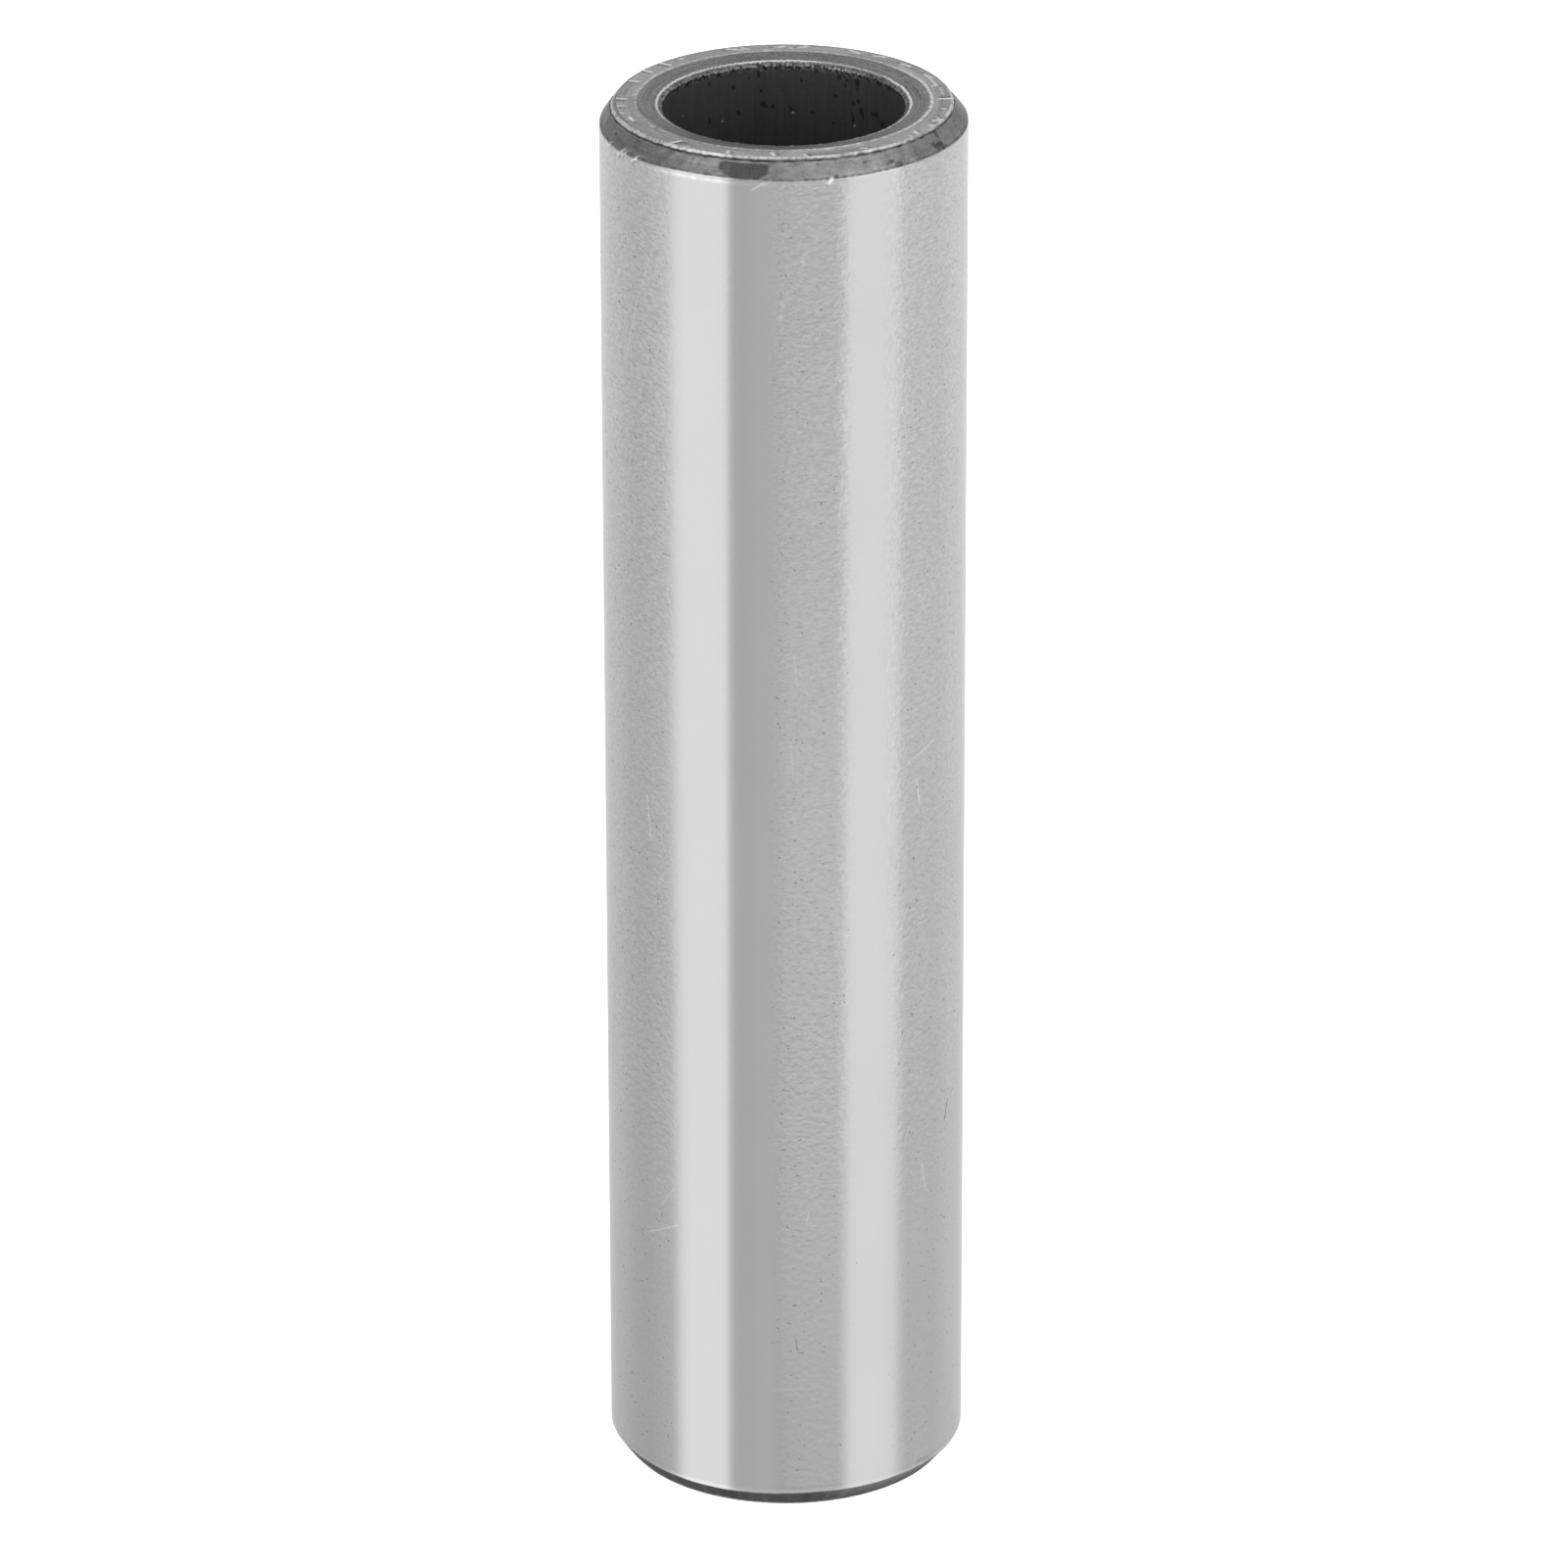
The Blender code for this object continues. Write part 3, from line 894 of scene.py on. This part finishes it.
WALL_PITS = (
    # angle, height in millimetres, half width, depth of colour
    (196.0, 35.75, 0.075, 0.55), (308.0, 38.0, 0.06, 0.35), (313.0, 38.7, 0.055, 0.3),
    (336.5, 35.1, 0.055, 0.55), (209.0, 34.4, 0.05, 0.45), (217.5, 35.9, 0.05, 0.35),
    (213.0, 45.0, 0.05, 0.3), (304.0, 42.6, 0.035, 0.3), (268.4, 31.9, 0.05, 0.4),
    (230.5, 32.6, 0.05, 0.4), (289.8, 30.6, 0.06, 0.25), (228.0, 28.0, 0.055, 0.45),
    (225.5, 26.0, 0.05, 0.45), (220.5, 23.2, 0.055, 0.5), (207.5, 24.0, 0.05, 0.45),
    (290.3, 21.4, 0.045, 0.4), (306.8, 20.1, 0.05, 0.45), (331.0, 22.8, 0.06, 0.35),
    (315.5, 29.6, 0.055, 0.45), (285.5, 18.8, 0.045, 0.55), (286.2, 18.3, 0.045, 0.5),
    (314.5, 17.7, 0.06, 0.5), (331.5, 17.6, 0.05, 0.45), (317.7, 12.5, 0.05, 0.55),
    (226.1, 10.3, 0.05, 0.35), (228.9, 9.45, 0.05, 0.5), (203.7, 7.45, 0.075, 0.4),
    (219.0, 7.65, 0.055, 0.35), (284.0, 9.55, 0.05, 0.45), (318.1, 4.85, 0.045, 0.35),
    (218.3, 1.85, 0.05, 0.45), (274.8, 13.9, 0.045, 0.35), (278.5, 12.8, 0.05, 0.25),
    (285.2, 8.8, 0.045, 0.3), (293.3, 9.1, 0.05, 0.3), (201.5, 11.0, 0.07, 0.35),
)
WALL_RADIUS = OUTSIDE / MM

outside = Finish("ground_outside", metallic=1.0, roughness=0.14, anisotropic=0.5)
unrolled = outside.unroll(WALL_RADIUS)
clouds = outside.noise((3.0, 3.0, 4.0), detail=3.0)
mottle = outside.noise((0.20, 0.20, 0.20), detail=2.0)
grinding = outside.noise((0.40, 0.40, 0.26), detail=1.0)
fine_grain = outside.noise((0.20, 0.20, 0.09), detail=2.0)
# More wear at the upper end and at both sides, and next to none in two stripes of smooth grinding
around = outside.split(unrolled)[0] / math.radians(WALL_RADIUS)
stripes = outside.between(around, -129, 5, -94, 3) + outside.between(around, -70, 4, -54, 4)
left_side = outside.smooth_step(abs(around), 122, 132)
sides = left_side + outside.between(around, -48, 5, -15, 8)
wear = 0.24 + 0.66 * outside.smooth_step(outside.z, 7.0, 17.0)
wear = wear + 0.35 * outside.smooth_step(outside.z, 28.0, 40.0)
wear = wear * (1 - 0.92 * stripes) * (1 + 0.15 * left_side)
flecks = outside.noise((0.11, 0.11, 0.10), detail=0.0) + 0.03 * sides
specks = outside.smooth_step(flecks, 0.79, 0.85) * (1 - stripes)
# Short streaks along the pin, at the edge of the right-hand stripe
streaked_part = outside.between(around, -57, 3, -48, 4) * outside.smooth_step(outside.z, 14.0, 30.0)
streaks = (outside.noise((0.10, 0.10, 0.25), detail=2.0) - 0.5) * streaked_part

# Painted highlights on the bright scratches, the top of the wall and the slivers. Painted shade at the foot
# of the chamfer comes with the stains
bright = outside.marks(unrolled, WALL_RADIUS, SCRATCH_HIGHLIGHTS, 0.4 * outside.attribute("shine"))
dark = 0.36 * specks + 0.5 * outside.attribute("stain")
dark = outside.marks(unrolled, WALL_RADIUS, DARK_SCRATCHES, dark)
# A pit is a scratch that ends where it starts
dark = outside.marks(unrolled, WALL_RADIUS, [row[:2] + row for row in WALL_PITS], dark)
steel = 0.60 + 0.04 * clouds + 0.22 * streaks
steel = steel + 0.22 * (fine_grain - 0.5) * wear * (1 + 0.3 * sides)
outside.set("Base Color", steel * (1 - dark) + bright)
outside.set("Roughness", 0.11 + 0.05 * clouds + 0.2 * dark)
outside.bump((0.75 * mottle + 0.25 * grinding) * (0.5 + clouds) * wear - 0.3 * specks, 0.013)

# %% [markdown]
# ## The chamfer
# The chamfer was turned and then left as it was. It is duller and darker than the ground outside,
# with stains of dried oil and painted shade, and painted highlights on the burr and a few edges.

# %% Finish the chamfer
chamfer = Finish("turned_chamfer", metallic=1.0, roughness=0.36, anisotropic=0.4)
turning = chamfer.noise((1.4, 1.4, 0.045), detail=3.0)
blotches = chamfer.noise((0.45, 0.45, 0.25), detail=5.0, roughness=0.65)
# Stains and painted shade darken the chamfer, and painted highlights brighten it
chamfer_stain_and_shade = chamfer.attribute("stain") * (0.8 + 0.4 * blotches)
chamfer_highlight = chamfer.attribute("shine")
coarse_grain = chamfer.noise((0.07, 0.07, 0.07), detail=3.0)
dull = -0.13 + 0.58 * blotches + 0.20 * turning + 0.24 * coarse_grain
chamfer.set("Base Color", dull * (1 - 0.84 * chamfer_stain_and_shade) + 0.8 * chamfer_highlight)
chamfer.set("Roughness", 0.28 + 0.14 * blotches + 0.10 * chamfer_stain_and_shade)
chamfer.bump(0.5 * turning + 0.5 * coarse_grain, 0.016)

# %% [markdown]
# ## Land and dish
# The end face shows the tool's own rings, which run round the axis. The same noise would look wrong
# here if it were stretched along x or y, so it is read at a place made of the direction from the
# axis, which changes slowly, and the radius, which changes fast. The dish is duller than the land,
# and the facets of the land differ a little in shade.

# %% Finish the end faces
face = Finish("turned_end_face", metallic=1.0, roughness=0.34, anisotropic=0.3)


def ring_noise(across, apart_mm, detail):
    """Noise in rings that far apart, with about six lumps to the turn for each 1 of across."""
    turned = {"X": face.x / face.radius * across, "Y": face.y / face.radius * across}
    turned["Z"] = face.radius / apart_mm
    place = face.node("ShaderNodeCombineXYZ", {}, turned)
    return face.node("ShaderNodeTexNoise", {}, {"Vector": place, "Scale": 1.0, "Detail": detail}, "Fac")


rings = ring_noise(2.2, 0.055, 3.0)
dashes = ring_noise(14.0, 0.09, 2.0)
land_part = face.smooth_step(face.radius, LAND_INNER / MM - 0.03, LAND_INNER / MM + 0.03)
mouth_part = 1 - face.smooth_step(face.radius, RIM / MM - 0.05, RIM / MM)
face_grain = face.noise((0.08, 0.08, 0.08), detail=3.0)
pits = face.smooth_step(face.noise((0.10, 0.10, 0.10), detail=1.0), 0.68, 0.76) * (1 - land_part)
face_grey = -0.27 + 0.035 * land_part + 0.48 * rings + 0.42 * face_grain + 0.14 * dashes * (0.4 + land_part)
face_grey = face_grey + 0.16 * face.attribute("facet_shade")
# Stains and painted shade, on the front of the dish and beside the strokes, darken the face. Painted
# highlights on the ridge, the lip and the strokes, and bare metal at the torn mouth, brighten it
face_grey = face_grey * (1 - 0.25 * mouth_part) * (1 - 0.5 * pits) * (1 - 0.85 * face.attribute("stain"))
face.set("Base Color", face_grey + 0.85 * face.attribute("shine"))
face.set("Roughness", 0.26 + 0.16 * face_grain)
face.bump(0.5 * rings + 0.25 * face_grain + 0.25 * dashes, 0.020)

# %% [markdown]
# ## The blackened bore
# The bore kept the black scale of its hardening. It reflects little, and shows a few deeper pits,
# faint streaks along the axis from the drawn tube, and here and there a bright speck. It is no bare
# metal, so the shader is a dull half-metal, and not simply a darker steel.

# %% Finish the bore
BORE_SPECKS = (
    # angle, height in millimetres, half width
    (120.5, 46.45, 0.06), (85.6, 46.55, 0.06), (54.0, 46.36, 0.06), (146.4, 47.06, 0.04),
)
BORE_BLOTS = (
    # angle and height where it starts and ends, half width
    (52.4, 47.95, 52.4, 47.65, 0.14), (54.6, 47.15, 54.6, 47.1, 0.12), (51.6, 47.25, 51.8, 47.2, 0.12),
    (50.1, 47.0, 49.8, 46.9, 0.14), (49.2, 46.85, 49.0, 46.7, 0.1), (54.6, 46.65, 54.6, 46.4, 0.09),
    (42.5, 46.94, 39.5, 46.96, 0.15), (35.3, 46.8, 35.3, 46.7, 0.14), (32.7, 46.69, 32.0, 46.65, 0.1),
    (64.9, 47.28, 64.0, 47.25, 0.1), (59.5, 47.72, 59.5, 47.65, 0.1), (62.6, 47.98, 62.6, 47.88, 0.13),
    (81.4, 47.74, 81.4, 47.66, 0.08), (86.5, 46.68, 87.2, 46.72, 0.12), (76.2, 46.6, 76.2, 46.58, 0.09),
    (65.5, 46.3, 65.5, 46.28, 0.08), (58.5, 47.88, 58.5, 47.82, 0.09), (114.8, 47.57, 114.5, 47.55, 0.12),
    (128.4, 47.85, 127.6, 47.82, 0.11), (99.9, 46.87, 99.0, 46.8, 0.17), (95.4, 46.79, 95.2, 46.77, 0.11),
    (112.5, 46.67, 111.8, 46.62, 0.12), (100.8, 47.35, 100.8, 47.3, 0.08), (128.1, 46.63, 128.1, 46.5, 0.1),
    (140.1, 46.5, 140.1, 46.4, 0.12), (102.0, 47.98, 102.0, 47.84, 0.09), (106.9, 47.8, 106.9, 47.78, 0.08),
)
BORE_RADIUS = BORE / MM

inside = Finish("blackened_bore", metallic=0.5, roughness=0.45, anisotropic=0.0)
unrolled = inside.unroll(BORE_RADIUS)
streaks = inside.noise((0.12, 0.12, 3.0), detail=3.0)
pitting = inside.noise((0.24, 0.24, 0.30), detail=3.0)
holes = inside.smooth_step(pitting, 0.68, 0.76)
edge_noise = inside.noise((0.10, 0.10, 0.10), detail=2.0)
blots = inside.marks(unrolled, BORE_RADIUS, [row + (1.0,) for row in BORE_BLOTS])
blots = inside.smooth_step(blots * (0.05 + edge_noise), 0.20, 0.60)
bright = inside.marks(unrolled, BORE_RADIUS, [row[:2] + row + (1.0,) for row in BORE_SPECKS])
black = (0.085 + 0.07 * streaks) * (1 - 0.6 * holes) * (1 - 0.68 * blots)
# Painted glints and bare metal at the torn mouth brighten the black
inside.set("Base Color", black + 0.55 * bright + 0.6 * inside.attribute("shine"))
inside.bump(pitting * -1, 0.02)

# %% [markdown]
# ## Which face takes which finish
# Each finish ends at a machined edge, so the faces are sorted by where their middle lies. The small
# chamfer at the mouth of the bore was cut after the hardening, so it is bare like the end face, and on
# the far side the scale below it has flaked off by up to a fifth of a millimetre.

# %% Give each face its finish
for finish in (outside, chamfer, face, inside):
    pin.data.materials.append(finish.material)

count = len(pin.data.polygons)
corners_of_face = np.empty(count * 4, dtype=np.int32)
pin.data.polygons.foreach_get("vertices", corners_of_face)
corners_of_face = corners_of_face.reshape(count, 4)
face_radius = radius[corners_of_face].mean(axis=1)
face_depth = depth[corners_of_face].mean(axis=1)
sorted_to = np.zeros(count, dtype=np.int32)
sorted_to[(face_depth < CHAMFER_FOOT - HAIR) & (face_radius < OUTSIDE - 0.025 * MM)] = 1
sorted_to[(face_depth < CHAMFER_FOOT) & (face_radius < LAND_OUTER + 0.03 * MM)] = 2
black_wave = 0.5 * ragged(30, 6, 91) + 0.45 * ragged(6, 2, 93)
black_from = MOUTH_FOOT + 0.10 * MM * np.clip(1 + black_wave, 0, 2.2) * far_side
black_from = black_from[corners_of_face].mean(axis=1)
sorted_to[(face_depth > black_from) & (face_radius < BORE + 0.03 * MM)] = 3
pin.data.polygons.foreach_set("material_index", sorted_to)
print("faces: outside, chamfer, end face, bore:", [int((sorted_to == slot).sum()) for slot in range(4)])

make_active(pin)
bpy.ops.object.shade_smooth_by_angle(angle=math.radians(40))

# %% [markdown]
# ## The studio
# The photograph was lit by two tall soft boxes, left and right of the camera, inside a white tent,
# and a polished pin is mostly a picture of that room. The lights could be area lamps, but a lamp's
# edge is hard to soften, so the world itself is the tent: a grey for each direction round the pin,
# with the two boxes as soft-edged bands, darker towards the table.

# %% Light the tent
DEGREE = math.pi / 180

world = bpy.data.worlds.new("white_tent")
bpy.context.scene.world = world
tent = Tree(world)
east, north, up = tent.split(tent.node("ShaderNodeTexCoord", {}, {}, "Generated"))
round_pin = tent.maths("ARCTAN2", east, north * -1) / DEGREE
climb = tent.maths("ARCSINE", up) / DEGREE


def brightness(value, *stops):
    """A level for each angle, by a ramp between stops that run from one turn's end to the other."""
    span = stops[-1][0] - stops[0][0]
    placed = [((at - stops[0][0]) / span, level / 2) for at, level in stops]
    part = (value - stops[0][0]) / span
    return 2 * tent.node("ShaderNodeValToRGB", {"stops": placed}, {0: part})


low_ring = brightness(
    round_pin, (-180, 0.72), (-170, 0.82), (-157, 0.84), (-131, 0.86), (-114, 0.8), (-101, 0.8),
    (-89, 0.88), (-60, 0.8), (-32, 0.62), (-24, 0.615), (-10, 0.66), (0, 0.81), (16, 0.84),
    (60, 0.85), (89, 0.89), (101, 0.9), (114, 0.88), (131, 0.9), (157, 0.88), (170, 0.88), (180, 0.72),
)
high_ring = brightness(
    round_pin, (-180, 0.76), (-160, 0.66), (-142, 0.55), (-130, 0.42), (-116, 0.34), (-101, 0.4),
    (-84, 0.55), (-64, 0.8), (-45, 0.8), (-20, 0.55), (0, 0.58), (38, 0.8), (64, 0.9),
    (80, 0.85), (101, 0.55), (116, 0.42), (130, 0.5), (142, 0.6), (160, 0.68), (180, 0.76),
)
side_fade = brightness(
    climb, (-90, 0.46), (-60, 0.42), (-45, 0.42), (-34, 0.5), (-29, 0.71), (-27, 0.83), (-25.4, 0.88),
    (-24, 0.91), (-22, 0.98), (-20, 1.01), (-14, 1.06), (90, 1.06),
)
front_fade = brightness(
    climb, (-90, 0.46), (-60, 0.42), (-45, 0.42), (-34, 0.5), (-29, 0.67), (-27, 0.79), (-26.3, 0.87),
    (-25.4, 0.95), (-24.5, 0.98), (-23.5, 1.03), (-22.5, 1.06), (-21.4, 0.99), (-20.6, 0.74),
    (-19.8, 0.7), (-10, 0.95), (90, 1.0),
)
slot_shade = tent.between(round_pin, -37, 3, -8, 6)
in_front = tent.between(round_pin, -8, 6, 60, 10)
tall = tent.between(climb, -64, 6, 30, 12)
left_end = -38.1 + 3.5 * tent.smooth_step(climb, -30, -18)  # the left box leans a little
left_box = tent.between(round_pin, -75, 7, left_end, 3.5) * tall
right_box = tent.between(round_pin, 39.5, 6.5, 79, 8) * tall
box_glow = 1 + 0.42 * tent.between(climb, -9, 3, 20, 15)
fade = side_fade * (1 - in_front) + front_fade * in_front
fade = slot_shade + (1 - slot_shade) * fade  # the slot beside the left box doesn't fade
upward = tent.smooth_step(climb, -8, 12)
plain_tent = low_ring * fade * (1 - upward) + high_ring * upward
# Behind the pin, where the paper meets the back of the tent, there is a dim gap
behind = tent.smooth_step(abs(round_pin), 105, 150)
plain_tent = plain_tent * (1 - 0.6 * behind * tent.between(climb, -8, 6, 9, 8))
lit = plain_tent * (1 - left_box - right_box) + (1.14 * left_box + 1.06 * right_box) * box_glow
tent.feed(tent.nodes["Background"].inputs["Color"], lit)
bpy.context.scene.view_settings.view_transform = "Standard"

# The tent has no small bright lamp, so rays that follow the gloss find it best by themselves
world.cycles.sampling_method = "NONE"

# %% [markdown]
# ## The floor
# The photograph has no visible floor: its white table was lit as bright as the paper behind it. So
# the floor is a large plain white sheet that glows a little itself, which washes the pin's shadow
# out. It is kept out of the reflections, because the tent already has the table's part in it.

# %% Lay the floor
FLOOR_SIZE = 40.0

bpy.ops.object.select_all(action="DESELECT")
bpy.ops.mesh.primitive_plane_add(size=FLOOR_SIZE, location=(0, 0, 0))
floor = bpy.context.object
floor.name = "floor"
floor.visible_glossy = False
floor.visible_diffuse = False
floor.visible_shadow = False
paper = bpy.data.materials.new("white_paper")
paper_tree = Tree(paper)
for name, value in (
    ("Base Color", (0.9, 0.9, 0.9, 1.0)), ("Roughness", 1.0), ("Specular IOR Level", 0.0),
    ("Emission Color", (1.0, 1.0, 1.0, 1.0)), ("Emission Strength", 0.85),
):
    paper_tree.feed(paper_tree.nodes["Principled BSDF"].inputs[name], value)
floor.data.materials.append(paper)
floor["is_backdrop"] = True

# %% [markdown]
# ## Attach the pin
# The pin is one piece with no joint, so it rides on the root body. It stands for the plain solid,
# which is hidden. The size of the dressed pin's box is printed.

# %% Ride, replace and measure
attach(pin, "root")
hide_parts(NODE)

low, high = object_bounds()
print("dressed pin, metres:", [round(x, 5) for x in high - low])
